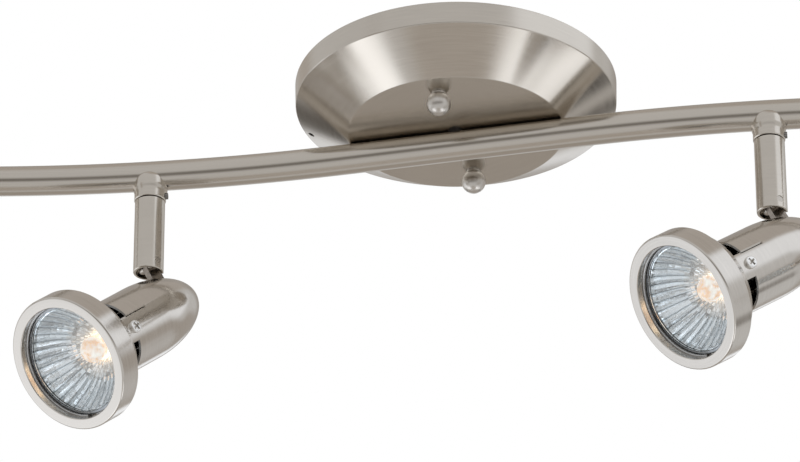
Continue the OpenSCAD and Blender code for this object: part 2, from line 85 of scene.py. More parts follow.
LUG_R = 3.3
LAMP_RECESS = 4.8
LAMP_R = 24.9
LENS_R = 23.6
LENS_T = 1.5
NECK_R = 8.6
LAMP_L = 38.0
PAN = {1: 54.0, 2: 55.0, 3: 42.5, 4: 44.0}
TILT = {1: 49.0, 2: 49.5, 3: 54.0, 4: 53.0}

FLAT_Z = -CANOPY_H
BAR_Z = FLAT_Z - 0.1 - BAR_R
SEAM_Z = BAR_Z - BOSS_DROP
STEM_TOP = SEAM_Z - 0.2
PIVOT_Z = STEM_TOP - STEM_L + PIVOT_UP
FLUTES = 36
FACET = 1.45


def bar_turn(s):
    """Turn of the bar at a length s along it, in radians."""
    return max(abs(s) - BAR_STRAIGHT, 0.0) / BAR_CURVE


def bar_point(s):
    """Place of the bar's axis at a length s along it, in mm, seen from above."""
    side = 1.0 if s > 0 else -1.0
    turn = bar_turn(s)
    along = min(abs(s), BAR_STRAIGHT) + BAR_CURVE * sin(turn)
    return Vector((side * along, side * BAR_CURVE * (1 - cos(turn)), BAR_Z))


def bar_frame(s):
    """Places a piece at the bar's axis at length s, with X along the bar."""
    return Matrix.Translation(bar_point(s) * MM) @ Matrix.Rotation(bar_turn(s), 4, "Z")


def stem_frame(i):
    """Places a piece at the tilt axis of head i, panned with its stem."""
    place = bar_point(HEAD_REACH[i])
    place.z = PIVOT_Z
    return Matrix.Translation(place * MM) @ Matrix.Rotation(radians(PAN[i]), 4, "Z")


def head_frame(i):
    """Places a piece in head i, whose face is at z = 0 and looks down -Z."""
    return (stem_frame(i) @ Matrix.Rotation(radians(TILT[i]), 4, "Y")
            @ Matrix.Translation(Vector((PIVOT_OFF, 0, -PIVOT_BACK)) * MM))


# ---------------------------------------------------------------- camera
def make_camera():
    """Looks up at the fixture from in front of it, with the canopy right of the middle."""
    turn, rise, roll = radians(13.2), radians(29.4), radians(-0.1)
    distance, aside, below, lens = 2.3, 0.0248, 0.0642, 233.2
    back = Vector((sin(turn) * cos(rise), -cos(turn) * cos(rise), -sin(rise)))
    right = (-back).cross(Vector((0, 0, 1))).normalized()
    up = right.cross(-back)
    right, up = cos(roll) * right + sin(roll) * up, cos(roll) * up - sin(roll) * right
    place = distance * back - aside * right - below * up
    data = bpy.data.cameras.new("camera")
    data.lens = lens
    data.clip_end = 20
    camera = bpy.data.objects.new("camera", data)
    scene.collection.objects.link(camera)
    camera.matrix_world = Matrix.Translation(place) @ Matrix((right, up, back)).transposed().to_4x4()
    scene.camera = camera


make_camera()


# ---------------------------------------------------------------- bench tools
def clear():
    if bpy.context.object and bpy.context.object.mode != "OBJECT":
        bpy.ops.object.mode_set(mode="OBJECT")
    bpy.ops.object.select_all(action="DESELECT")


def take(piece):
    clear()
    piece.select_set(True)
    bpy.context.view_layer.objects.active = piece


def edit(piece, mode="VERT"):
    take(piece)
    bpy.ops.object.mode_set(mode="EDIT")
    bpy.ops.mesh.select_mode(type=mode)
    bpy.ops.mesh.select_all(action="DESELECT")


def done():
    bpy.ops.object.mode_set(mode="OBJECT")


def apply_all(piece):
    take(piece)
    for modifier in list(piece.modifiers):
        bpy.ops.object.modifier_apply(modifier=modifier.name)


def turned(name, outline, steps=96, sweep=360.0):
    """A shell spun about Z from an outline of (radius, height) points in mm."""
    clear()
    x, z = outline[0]
    bpy.ops.mesh.primitive_plane_add(size=MM, location=(x * MM, 0, z * MM))
    piece = bpy.context.object
    piece.name = name
    edit(piece)
    bpy.ops.mesh.select_all(action="SELECT")
    bpy.ops.mesh.merge(type="CENTER")
    for (xa, za), (xb, zb) in zip(outline, outline[1:]):
        step = ((xb - xa) * MM, 0, (zb - za) * MM)
        bpy.ops.mesh.extrude_region_move(TRANSFORM_OT_translate={"value": step})
    bpy.ops.mesh.select_all(action="SELECT")
    bpy.ops.mesh.spin(steps=steps, angle=radians(sweep), center=(0, 0, 0), axis=(0, 0, 1))
    bpy.ops.mesh.select_all(action="SELECT")
    bpy.ops.mesh.remove_doubles(threshold=2e-6)
    bpy.ops.mesh.select_all(action="SELECT")
    bpy.ops.mesh.normals_make_consistent(inside=False)
    done()
    settle(piece)
    return piece


def settle(piece):
    """Puts the piece's place into its mesh, with its object at the origin."""
    take(piece)
    bpy.ops.object.transform_apply(location=True, rotation=True, scale=True)


def block(name, low, high):
    """A box between two corners in mm, used to cut with."""
    clear()
    middle = [(a + b) / 2 * MM for a, b in zip(low, high)]
    bpy.ops.mesh.primitive_cube_add(size=1, location=middle)
    piece = bpy.context.object
    piece.name = name
    piece.scale = [(b - a) * MM for a, b in zip(low, high)]
    settle(piece)
    return piece


def rod(name, radius, low, high, axis="Z", sides=48, at=(0, 0, 0)):
    """A round rod along an axis through a point, from low to high in mm."""
    clear()
    bpy.ops.mesh.primitive_cylinder_add(vertices=sides, radius=radius * MM, depth=(high - low) * MM,
                                        location=(0, 0, (low + high) / 2 * MM))
    piece = bpy.context.object
    piece.name = name
    settle(piece)
    if axis == "X":
        piece.data.transform(Matrix.Rotation(radians(90), 4, "Y"))
    elif axis == "Y":
        piece.data.transform(Matrix.Rotation(radians(-90), 4, "X"))
    piece.data.transform(Matrix.Translation(Vector(at) * MM))
    return piece


def cut(piece, *cutters):
    """Cuts the shapes out of the piece and takes them away."""
    for cutter in cutters:
        modifier = piece.modifiers.new("cut", "BOOLEAN")
        modifier.operation = "DIFFERENCE"
        modifier.solver = "EXACT"
        modifier.object = cutter
        apply_all(piece)
        bpy.data.objects.remove(cutter)
    return piece


def join(name, *pieces):
    take(pieces[0])
    for piece in pieces[1:]:
        piece.select_set(True)
    bpy.ops.object.join()
    pieces[0].name = name
    return pieces[0]


def soften(piece, width, angle=30, segments=3):
    """Rounds the sharp edges by a small bevel in mm and evens the shading."""
    if width:
        modifier = piece.modifiers.new("edges", "BEVEL")
        modifier.width = width * MM
        modifier.segments = segments
        modifier.limit_method = "ANGLE"
        modifier.angle_limit = radians(angle)
        modifier.miter_outer = "MITER_ARC"
        apply_all(piece)
    take(piece)
    bpy.ops.object.shade_smooth_by_angle(angle=radians(angle + 8))
    modifier = piece.modifiers.new("shade", "WEIGHTED_NORMAL")
    modifier.keep_sharp = True
    modifier.weight = 80
    apply_all(piece)
    return piece


def mark_grain(piece):
    """Keeps where each point was on the bench, for the finish that follows the turning."""
    mesh = piece.data
    grain = mesh.attributes.new("grain", "FLOAT_VECTOR", "POINT")
    for point, vertex in zip(grain.data, mesh.vertices):
        point.vector = vertex.co


def copies(piece, frames):
    """One placed copy for each frame, each with its own mesh. The first piece is used up."""
    placed = []
    for key, place in frames:
        take(piece)
        bpy.ops.object.duplicate(linked=False)
        copy = bpy.context.object
        copy.name = "%s_%s" % (piece.name, key)
        copy.matrix_world = place
        settle(copy)
        placed.append(copy)
    bpy.data.objects.remove(piece)
    return placed


def fit(piece, body, material, slot, *nodes):
    """Finishes a piece: its material, the body it rides on and what it stands for."""
    if material:
        piece.data.materials.clear()
        piece.data.materials.append(material)
    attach(piece, body)
    if nodes:
        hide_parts(*nodes)


def arc(cx, cz, radius, start, end, steps, rz=None):
    """Outline points round a corner, angles in degrees from outwards to upwards."""
    rz = radius if rz is None else rz
    return [(cx + radius * cos(radians(start + (end - start) * k / steps)),
             cz + rz * sin(radians(start + (end - start) * k / steps))) for k in range(steps + 1)]


# ---------------------------------------------------------------- finishes
def group_socket(tree, name, kind, way, value=None):
    socket = tree.interface.new_socket(name, in_out=way, socket_type=kind)
    if value is not None:
        socket.default_value = value
    return socket


def sums(tree):
    """A short way to write arithmetic in a material's node tree."""
    def math(kind, a, b=None):
        node = tree.nodes.new("ShaderNodeMath")
        node.operation = kind
        for socket, value in zip(node.inputs, (a, b)):
            if hasattr(value, "is_output"):
                tree.links.new(value, socket)
            elif value is not None:
                socket.default_value = value
        return node.outputs[0]
    return math


def brushed_group():
    """Fine turning lines, soft cloudiness and a faint bump for plated metal."""
    tree = bpy.data.node_groups.new("turned_brushing", "ShaderNodeTree")
    group_socket(tree, "Colour", "NodeSocketColor", "INPUT", (0.6, 0.6, 0.6, 1))
    group_socket(tree, "Roughness", "NodeSocketFloat", "INPUT", 0.25)
    group_socket(tree, "Lines", "NodeSocketFloat", "INPUT", 2500.0)
    group_socket(tree, "Colour", "NodeSocketColor", "OUTPUT")
    group_socket(tree, "Roughness", "NodeSocketFloat", "OUTPUT")
    group_socket(tree, "Height", "NodeSocketFloat", "OUTPUT")
    new, link = tree.nodes.new, tree.links.new
    inside, outside = new("NodeGroupInput"), new("NodeGroupOutput")
    place = new("ShaderNodeAttribute")
    place.attribute_name = "grain"
    parts = new("ShaderNodeSeparateXYZ")
    link(place.outputs["Vector"], parts.inputs[0])

    math = sums(tree)
    across = math("SQRT", math("ADD", math("MULTIPLY", parts.outputs[0], parts.outputs[0]),
                               math("MULTIPLY", parts.outputs[1], parts.outputs[1])))
    lines = new("ShaderNodeCombineXYZ")
    link(math("MULTIPLY", across, inside.outputs["Lines"]), lines.inputs[0])
    link(math("MULTIPLY", parts.outputs[2], inside.outputs["Lines"]), lines.inputs[1])
    link(math("MULTIPLY", parts.outputs[0], 60.0), lines.inputs[2])
    streak = new("ShaderNodeTexNoise")
    streak.noise_dimensions = "4D"
    streak.inputs["Scale"].default_value = 1.0
    streak.inputs["Detail"].default_value = 4.0
    streak.inputs["Roughness"].default_value = 0.6
    link(lines.outputs[0], streak.inputs["Vector"])
    link(math("MULTIPLY", parts.outputs[1], 60.0), streak.inputs["W"])
    cloud = new("ShaderNodeTexNoise")
    cloud.inputs["Scale"].default_value = 55.0
    cloud.inputs["Detail"].default_value = 3.0
    link(place.outputs["Vector"], cloud.inputs["Vector"])
    tint = math("ADD", math("MULTIPLY", streak.outputs["Fac"], 0.22),
                math("MULTIPLY", cloud.outputs["Fac"], 0.08))
    shade = new("ShaderNodeMix")
    shade.data_type = "RGBA"
    shade.blend_type = "MULTIPLY"
    shade.inputs[0].default_value = 1.0
    link(inside.outputs["Colour"], shade.inputs[6])
    grey = new("ShaderNodeCombineColor")
    level = math("ADD", tint, 0.85)
    for socket in grey.inputs[:3]:
        link(level, socket)
    link(grey.outputs[0], shade.inputs[7])
    link(shade.outputs[2], outside.inputs["Colour"])
    rough = math("ADD", inside.outputs["Roughness"],
                 math("ADD", math("MULTIPLY", math("SUBTRACT", streak.outputs["Fac"], 0.5), 0.14),
                      math("MULTIPLY", math("SUBTRACT", cloud.outputs["Fac"], 0.5), 0.06)))
    link(rough, outside.inputs["Roughness"])
    link(streak.outputs["Fac"], outside.inputs["Height"])
    return tree


BRUSHED = brushed_group()


def shader_of(name):
    material = bpy.data.materials.new(name)
    material.use_nodes = True
    return material, material.node_tree, material.node_tree.nodes["Principled BSDF"]


def plated(name, colour, roughness, lines=2500.0, bump=0.05):
    """Brushed and plated metal."""
    material, tree, shader = shader_of(name)
    finish = tree.nodes.new("ShaderNodeGroup")
    finish.node_tree = BRUSHED
    finish.inputs["Colour"].default_value = (*colour, 1)
    finish.inputs["Roughness"].default_value = roughness
    finish.inputs["Lines"].default_value = lines
    tree.links.new(finish.outputs["Colour"], shader.inputs["Base Color"])
    tree.links.new(finish.outputs["Roughness"], shader.inputs["Roughness"])
    relief = tree.nodes.new("ShaderNodeBump")
    relief.inputs["Strength"].default_value = bump
    relief.inputs["Distance"].default_value = 0.00008
    tree.links.new(finish.outputs["Height"], relief.inputs["Height"])
    tree.links.new(relief.outputs["Normal"], shader.inputs["Normal"])
    shader.inputs["Metallic"].default_value = 1.0
    return material


def spun(name, colour, roughness):
    """Plated metal brushed while it turned, so that its gloss spreads across the lines."""
    material = plated(name, colour, roughness)
    tree = material.node_tree
    shader = tree.nodes["Principled BSDF"]
    around = tree.nodes.new("ShaderNodeTangent")
    around.direction_type = "RADIAL"
    around.axis = "Z"
    tree.links.new(around.outputs["Tangent"], shader.inputs["Tangent"])
    shader.inputs["Anisotropic"].default_value = 0.7
    shader.inputs["Anisotropic Rotation"].default_value = 0.25
    return material


def speckled(name, colour, roughness, scale, metallic=0.0, spread=0.2, bump=0.1, depth=0.0001):
    """A moulded, cast or blackened surface with a fine mottle on Object coordinates."""
    material, tree, shader = shader_of(name)
    where = tree.nodes.new("ShaderNodeTexCoord")
    grain = tree.nodes.new("ShaderNodeTexNoise")
    grain.inputs["Scale"].default_value = scale
    grain.inputs["Detail"].default_value = 5.0
    tree.links.new(where.outputs["Object"], grain.inputs["Vector"])
    ramp = tree.nodes.new("ShaderNodeValToRGB")
    low = [c * (1 - spread) for c in colour]
    high = [min(c * (1 + spread), 1.0) for c in colour]
    ramp.color_ramp.elements[0].position = 0.3
    ramp.color_ramp.elements[1].position = 0.7
    ramp.color_ramp.elements[0].color = (*low, 1)
    ramp.color_ramp.elements[1].color = (*high, 1)
    tree.links.new(grain.outputs["Fac"], ramp.inputs["Fac"])
    tree.links.new(ramp.outputs["Color"], shader.inputs["Base Color"])
    sheen = tree.nodes.new("ShaderNodeMapRange")
    sheen.inputs["To Min"].default_value = max(roughness - 0.08, 0.02)
    sheen.inputs["To Max"].default_value = min(roughness + 0.08, 1.0)
    tree.links.new(grain.outputs["Fac"], sheen.inputs["Value"])
    tree.links.new(sheen.outputs["Result"], shader.inputs["Roughness"])
    relief = tree.nodes.new("ShaderNodeBump")
    relief.inputs["Strength"].default_value = bump
    relief.inputs["Distance"].default_value = depth
    tree.links.new(grain.outputs["Fac"], relief.inputs["Height"])
    tree.links.new(relief.outputs["Normal"], shader.inputs["Normal"])
    shader.inputs["Metallic"].default_value = metallic
    return material


satin_nickel = plated("satin_nickel", (0.62, 0.575, 0.515), 0.21)
canopy_nickel = spun("canopy_nickel", (0.62, 0.575, 0.515), 0.22)
bright_nickel = plated("bright_nickel", (0.66, 0.625, 0.58), 0.15, lines=1800.0, bump=0.03)
zinc_plate = speckled("zinc_plate", (0.60, 0.60, 0.56), 0.42, 900.0, metallic=1.0, spread=0.18)
nut_nickel = plated("nut_nickel", (0.66, 0.625, 0.58), 0.30, lines=1800.0, bump=0.03)
screw_plate = speckled("screw_plate", (0.90, 0.89, 0.87), 0.36, 1300.0, metallic=1.0, spread=0.08)
# The pivot lugs are plated metal; their dark brown is painted shade for the stem's mouth they sit in.
lug_plate = speckled("lug_plate", (0.27, 0.235, 0.20), 0.30, 1100.0, metallic=1.0, spread=0.25)
pin_plate = speckled("pin_plate", (0.52, 0.48, 0.43), 0.27, 1300.0, metallic=1.0, spread=0.1)
grub_steel = speckled("grub_steel", (0.26, 0.25, 0.24), 0.34, 1500.0, metallic=1.0, spread=0.2)
dark_steel = speckled("dark_steel", (0.045, 0.042, 0.04), 0.38, 1500.0, metallic=1.0, spread=0.25)
spring_steel = speckled("spring_steel", (0.50, 0.50, 0.50), 0.22, 1200.0, metallic=1.0, spread=0.12)
connector_plastic = speckled("connector_plastic", (0.80, 0.26, 0.05), 0.45, 1100.0, spread=0.1)
lead_plastic = speckled("lead_plastic", (0.02, 0.02, 0.02), 0.5, 1400.0, spread=0.3)
ceramic = speckled("ceramic", (0.80, 0.77, 0.70), 0.7, 1600.0, spread=0.06, bump=0.2)


def ramp(tree, value, *stops):
    """Colours against a value, each stop a place from 0 to 1 and its colour."""
    scale = tree.nodes.new("ShaderNodeValToRGB")
    points = scale.color_ramp.elements
    while len(points) < len(stops):
        points.new(0.5)
    for point, (at, tint) in zip(points, stops):
        point.position = at
        point.color = (*tint, 1)
    tree.links.new(value, scale.inputs["Fac"])
    return scale.outputs["Color"]


def make_mirror():
    """Pressed and silvered glass: flutes with painted glints and painted shade at their seams, facets near
    the lamp with painted glints, and a painted warm glow round the lamp.
    """
    material, tree, shader = shader_of("mirror_coat")
    math, link = sums(tree), tree.links.new
    place = tree.nodes.new("ShaderNodeAttribute")
    place.attribute_name = "grain"
    parts = tree.nodes.new("ShaderNodeSeparateXYZ")
    link(place.outputs["Vector"], parts.inputs[0])
    x, y = parts.outputs[0], parts.outputs[1]
    turn = math("MULTIPLY", math("ARCTAN2", y, x), FLUTES / radians(360))
    square = math("ADD", math("MULTIPLY", x, x), math("MULTIPLY", y, y))
    across = math("MULTIPLY", math("SQRT", square), 1 / MM)
    flute = math("FLOOR", turn)
    part = math("FRACT", turn)
    seam = math("MINIMUM", part, math("SUBTRACT", 1.0, part))

    def scatter(*numbers):
        """An even but different value from 0 to 1 for each flute or facet."""
        where = tree.nodes.new("ShaderNodeCombineXYZ")
        for number, socket in zip(numbers, where.inputs):
            link(number, socket)
        dice = tree.nodes.new("ShaderNodeTexWhiteNoise")
        link(where.outputs[0], dice.inputs["Vector"])
        return dice.outputs["Value"]

    def step(value, low, high):
        ease = tree.nodes.new("ShaderNodeMapRange")
        ease.inputs["From Min"].default_value = low
        ease.inputs["From Max"].default_value = high
        link(value, ease.inputs["Value"])
        return ease.outputs["Result"]

    # Painted reflections: each flute gets a random painted brightness that darkens to painted shade at its
    # seams, and inside 14 mm each small facet gets a random painted glint with painted shade at its edges.
    flute_glint = math("ADD", 0.58, math("MULTIPLY", scatter(flute), 0.42))
    painted_flute_glints = math("MULTIPLY", flute_glint, step(seam, 0.0, 0.2))
    ring = math("FLOOR", math("DIVIDE", across, FACET))
    edge = math("FRACT", math("DIVIDE", across, FACET))
    facets = math("MULTIPLY", scatter(flute, ring), step(math("MINIMUM", seam, edge), 0.0, 0.12))
    inner = step(across, 14.4, 13.8)
    painted_glints = math("ADD", math("MULTIPLY", inner, facets), math("MULTIPLY", math("SUBTRACT", 1.0, inner), painted_flute_glints))
    link(ramp(tree, painted_glints, (0.0, (0.20, 0.23, 0.24)), (0.5, (0.78, 0.83, 0.86)), (1.0, (0.98, 0.99, 1.0))),
         shader.inputs["Base Color"])
    rough = math("ADD", 0.06, math("MULTIPLY", scatter(ring, flute), 0.08))
    link(rough, shader.inputs["Roughness"])
    # Painted glow: the silvered glass emits a warm light round the capsule, fading out 15 mm from the middle.
    link(ramp(tree, math("DIVIDE", across, 25.0), (0.24, (0.85, 0.66, 0.46)), (0.36, (0.30, 0.22, 0.15)),
              (0.60, (0.0, 0.0, 0.0))), shader.inputs["Emission Color"])
    shader.inputs["Emission Strength"].default_value = 0.8
    shader.inputs["Metallic"].default_value = 1.0
    shader.inputs["Coat Weight"].default_value = 0.3
    return material


def make_glass():
    material, tree, shader = shader_of("clear_glass")
    shader.inputs["Transmission Weight"].default_value = 1.0
    shader.inputs["IOR"].default_value = 1.47
    where = tree.nodes.new("ShaderNodeTexCoord")
    haze = tree.nodes.new("ShaderNodeTexNoise")
    haze.inputs["Scale"].default_value = 120.0
    tree.links.new(where.outputs["Object"], haze.inputs["Vector"])
    spread = tree.nodes.new("ShaderNodeMapRange")
    spread.inputs["To Min"].default_value = 0.0
    spread.inputs["To Max"].default_value = 0.02
    tree.links.new(haze.outputs["Fac"], spread.inputs["Value"])
    tree.links.new(spread.outputs["Result"], shader.inputs["Roughness"])
    tint = tree.nodes.new("ShaderNodeValToRGB")
    tint.color_ramp.elements[0].color = (0.93, 0.965, 0.98, 1)
    tint.color_ramp.elements[1].color = (0.98, 0.99, 1.0, 1)
    tree.links.new(haze.outputs["Fac"], tint.inputs["Fac"])
    tree.links.new(tint.outputs["Color"], shader.inputs["Base Color"])
    return material


def make_painted_glow():
    material, tree, shader = shader_of("lamp_glow")
    where = tree.nodes.new("ShaderNodeTexCoord")
    haze = tree.nodes.new("ShaderNodeTexNoise")
    haze.inputs["Scale"].default_value = 420.0
    haze.inputs["Detail"].default_value = 4.0
    tree.links.new(where.outputs["Object"], haze.inputs["Vector"])
    tint = tree.nodes.new("ShaderNodeValToRGB")
    tint.color_ramp.elements[0].position = 0.40
    tint.color_ramp.elements[0].color = (0.90, 0.58, 0.36, 1)
    tint.color_ramp.elements[1].position = 0.60
    tint.color_ramp.elements[1].color = (1.0, 0.95, 0.86, 1)
    tree.links.new(haze.outputs["Fac"], tint.inputs["Fac"])
    tree.links.new(tint.outputs["Color"], shader.inputs["Base Color"])
    tree.links.new(tint.outputs["Color"], shader.inputs["Emission Color"])
    # Painted glow: the capsule emits its own warm colour, though the lamp is not switched on.
    shader.inputs["Emission Strength"].default_value = 0.6
    shader.inputs["Roughness"].default_value = 0.25
    return material


mirror_coat = make_mirror()
lamp_back = speckled("lamp_back", (0.38, 0.40, 0.42), 0.22, 700.0, metallic=1.0, spread=0.15, bump=0.04)
clear_glass = make_glass()
lamp_glow = make_painted_glow()


# ---------------------------------------------------------------- canopy
def make_canopy():
    """The round pan against the ceiling, with a hole in its cone for a screw."""
    slope = atan2(CANOPY_H - CANOPY_RIM_H, CANOPY_LOW_R - CANOPY_FACE_R)
    inset = CANOPY_WALL * sin(slope / 2) / cos(slope / 2)
    outline = [(0, FLAT_Z), (CANOPY_FACE_R * 0.5, FLAT_Z), (CANOPY_FACE_R, FLAT_Z)]
    outline += [(CANOPY_LOW_R, -CANOPY_RIM_H), (CANOPY_R, -0.4), (CANOPY_R, 0)]
    outline += [(CANOPY_R - CANOPY_WALL, 0), (CANOPY_LOW_R - CANOPY_WALL, -CANOPY_RIM_H + 0.3)]
    outline += [(CANOPY_FACE_R - inset, FLAT_Z + CANOPY_WALL), (0, FLAT_Z + CANOPY_WALL)]
    canopy = turned("canopy_pan", outline, steps=192)
    soften(canopy, 0.45, angle=20, segments=4)
    run_in, drop = CANOPY_LOW_R - CANOPY_FACE_R, CANOPY_H - CANOPY_RIM_H
    hole = rod("screw_hole", CONE_HOLE_R, -4, 4, sides=40)
    hole.data.transform(Matrix.Rotation(radians(CONE_HOLE_TURN), 4, "Z")
                        @ Matrix.Translation(Vector((CANOPY_LOW_R - run_in * CONE_HOLE_AT, 0,
                                                     -CANOPY_RIM_H - drop * CONE_HOLE_AT)) * MM)
                        @ Matrix.Rotation(radians(180) - slope, 4, "Y"))
    soften(cut(canopy, hole), 0, angle=20)
    mark_grain(canopy)
    fit(canopy, "fixture", canopy_nickel, "satin_nickel", "canopy")


make_canopy()


def make_ball_nuts():
    """A ball cap nut on a short neck under each stud."""
    low = -5.1
    outline = [(0, low - BALL_R)] + arc(0, low, BALL_R, -87, 54, 47)
    outline += [(3.0, -0.9), (3.2, -0.4), (3.2, 0), (2.1, 0), (2.1, -4), (0, -4)]
    nut = turned("ball_nut", outline, steps=96)
    take(nut)
    bpy.ops.object.shade_smooth_by_angle(angle=radians(40))
    mark_grain(nut)
    places = [(side, Matrix.Translation(Vector((0, y, FLAT_Z - 0.1)) * MM))
              for side, y in (("near", -STUD_HALF), ("far", STUD_HALF))]
    for piece in copies(nut, places):
        fit(piece, "fixture", nut_nickel, "bright_nickel", "ball_nuts")


make_ball_nuts()


# ---------------------------------------------------------------- bar
def make_bar():
    """A ring is carried along the whole S: one curve, the straight middle, the other curve."""
    clear()
    start = -BAR_REACH
    bpy.ops.mesh.primitive_circle_add(vertices=72, radius=BAR_R * MM)
    bar = bpy.context.object
    bar.name = "bar"
    bar.data.transform(Matrix.Rotation(radians(90), 4, "Y"))
    bar.data.transform(bar_frame(start))
    sweep = bar_turn(BAR_REACH)
    edit(bar)
    bpy.ops.mesh.select_all(action="SELECT")
    bpy.ops.mesh.spin(steps=60, angle=sweep, axis=(0, 0, 1),
                      center=(-BAR_STRAIGHT * MM, -BAR_CURVE * MM, BAR_Z * MM))
    bpy.ops.mesh.extrude_region_move(TRANSFORM_OT_translate={"value": (2 * BAR_STRAIGHT * MM, 0, 0)})
    bpy.ops.mesh.spin(steps=60, angle=-sweep, axis=(0, 0, 1),
                      center=(BAR_STRAIGHT * MM, BAR_CURVE * MM, BAR_Z * MM))
    bpy.ops.mesh.select_all(action="SELECT")
    bpy.ops.mesh.remove_doubles(threshold=2e-6)
    bpy.ops.mesh.select_all(action="SELECT")
    bpy.ops.mesh.normals_make_consistent(inside=False)
    done()
    wall = bar.modifiers.new("wall", "SOLIDIFY")
    wall.thickness = (BAR_R - BAR_BORE) * MM
    wall.offset = -1
    apply_all(bar)
    take(bar)
    bpy.ops.object.shade_smooth_by_angle(angle=radians(40))
    mark_grain(bar)
    return bar


def lengthwise(piece):
    """Turns the grain of the bar so that its lines run along the S."""
    for point in piece.data.attributes["grain"].data:
        x, y, z = point.vector / MM
        side = 1.0 if x > 0 else -1.0
        if abs(x) < BAR_STRAIGHT:
            along, across = x, y
        else:
            turn = atan2(abs(x) - BAR_STRAIGHT, BAR_CURVE - side * y)
            along = side * (BAR_STRAIGHT + BAR_CURVE * turn)
            across = side * (BAR_CURVE - hypot(abs(x) - BAR_STRAIGHT, BAR_CURVE - side * y))
        point.vector = Vector((across, 0.02 * along, z)) * MM


bar = make_bar()
lengthwise(bar)
fit(bar, "fixture", satin_nickel, "satin_nickel", "bar_tube")


def make_caps():
    """A plug with a rounded rim in each end of the bar."""
    edge = 1.0
    outline = [(0, -5), (BAR_BORE - 0.4, -5), (BAR_BORE - 0.1, -4.7), (BAR_BORE - 0.1, 0), (BAR_R, 0)]
    outline += arc(BAR_R - edge, CAP_T - edge, edge, 0, 90, 8) + [(0, CAP_T)]
    cap = turned("end_cap", outline, steps=72)
    soften(cap, 0)
    mark_grain(cap)
    places = []
    for side, s in (("left", -1), ("right", 1)):
        places.append((side, bar_frame(s * BAR_REACH) @ Matrix.Rotation(radians(90 * s), 4, "Y")))
    for piece in copies(cap, places):
        fit(piece, "fixture", bright_nickel, "bright_nickel", "end_caps")


make_caps()


# ---------------------------------------------------------------- bosses and stems
def make_bosses():
    """A boss coped onto the bar's underside above each stem."""
    bulge = BOSS_BULGE_R - BOSS_R
    outline = [(3.55, -BOSS_DROP + 4.9), (3.55, -BOSS_DROP), (BOSS_R - 0.35, -BOSS_DROP),
               (BOSS_R, -BOSS_DROP + 0.35)]
    outline += [(BOSS_R + bulge * (1 - cos(radians(a))) / 2, -BAR_R - 2.9 + 3.2 * a / 180)
                for a in range(0, 181, 12)]
    outline += [(BOSS_BULGE_R - 2.4 * (1 - cos(radians(a))), -4.2 + 3.6 * sin(radians(a)))
                for a in range(6, 91, 6)]
    outline += [(0, -0.6), (0, -BOSS_DROP + 4.9), (3.55, -BOSS_DROP + 4.9)]
    boss = turned("boss", outline, steps=96)
    cut(boss, rod("bar_seat", BAR_R + 0.02, -20, 20, axis="X", sides=96),
        rod("set_hole", 1.6, 3.5, 9, axis="X", sides=32, at=(0, 0, -BOSS_DROP + 2.5)))
    soften(boss, 0.12, angle=35, segments=2)
    mark_grain(boss)
    for i, piece in zip(HEADS, copies(boss, [(i, bar_frame(HEAD_REACH[i])) for i in HEADS])):
        fit(piece, "fixture", satin_nickel, "satin_nickel", "stem_bosses")


make_bosses()


def make_stems():
    """A tube for each head, with a slot for its lug."""
    top = STEM_TOP - PIVOT_Z
    low = -PIVOT_UP
    outline = [(3.55, top - 2.5), (3.55, top), (STEM_R - 0.5, top), (STEM_R, top - 0.5)]
    outline += [(STEM_R, low + 0.35), (STEM_R - 0.35, low), (STEM_BORE + 0.1, low)]
    outline += [(STEM_BORE, low + 0.1), (STEM_BORE, top - 2.5), (3.55, top - 2.5)]
    stem = turned("stem", outline, steps=96)
    cut(stem,
        block("lug_slot", (0, -1.8, low - 1), (8, 1.8, LUG_R + 0.3)),
        rod("scallop", 3.8, 0, 8, axis="X", sides=64, at=(0, 0, low)),
        rod("pivot_hole", PIVOT_R + 0.05, -10, 10, axis="Y", sides=48))
    soften(stem, 0.15, angle=35, segments=2)
    mark_grain(stem)
    for i, piece in zip(HEADS, copies(stem, [(i, stem_frame(i)) for i in HEADS])):
        fit(piece, "swivel_%d" % i, satin_nickel, "satin_nickel", "stem_%d" % i)


make_stems()


# ---------------------------------------------------------------- heads
def housing_wall(radius, length):
    return arc(0, DOME_START, radius, 0, 90, 30, rz=length)


def make_housings():
    """The bullet shell: side legs, vents between them, relief slits and a dome."""
    front = COLLAR_BACK + 0.1
    outline = [(HOUSING_R, front)] + housing_wall(HOUSING_R, DOME_L)
    outline += list(reversed(housing_wall(HOUSING_IN, DOME_L - 1.0)))
    outline += [(HOUSING_IN, front), (HOUSING_R, front)]
    shell = turned("bullet", outline, steps=144)
    leg = HOUSING_R * sin(radians(LEG_HALF_ANGLE))
    slit_half, lip_half, slit_end = 0.14, 0.5, VENT_BACK + 13
    slits = []
    for side in (-1, 1):
        slit = block("slit", (HOUSING_IN - 1, -slit_half, VENT_BACK - 1),
                     (HOUSING_IN + 3, slit_half, slit_end))
        lip = block("lip", (-lip_half, -lip_half, VENT_BACK - 1), (lip_half, lip_half, slit_end + 0.2))
        lip.data.transform(Matrix.Translation((HOUSING_R * MM, 0, 0)) @ Matrix.Rotation(radians(45), 4, "Z"))
        for tool in (slit, lip):
            tool.data.transform(Matrix.Rotation(radians(side * (90 + LEG_HALF_ANGLE)), 4, "Z"))
        slits += [slit, lip]
    cut(shell,
        block("vent", (leg, -20, front - 1), (20, 20, VENT_BACK)),
        block("vent", (-20, -20, front - 1), (-leg, 20, VENT_BACK)),
        block("lug_cut", (-20, -1.55, PIVOT_BACK - LUG_R - 0.05), (-10, 1.55, PIVOT_BACK + LUG_R + 0.05)),
        rod("lead_hole", 1.8, -22, -10, axis="X", sides=40, at=(0, 0, PIVOT_BACK - 9)),
        *slits)
    soften(shell, 0.12, angle=35, segments=2)
    mark_grain(shell)
    return shell


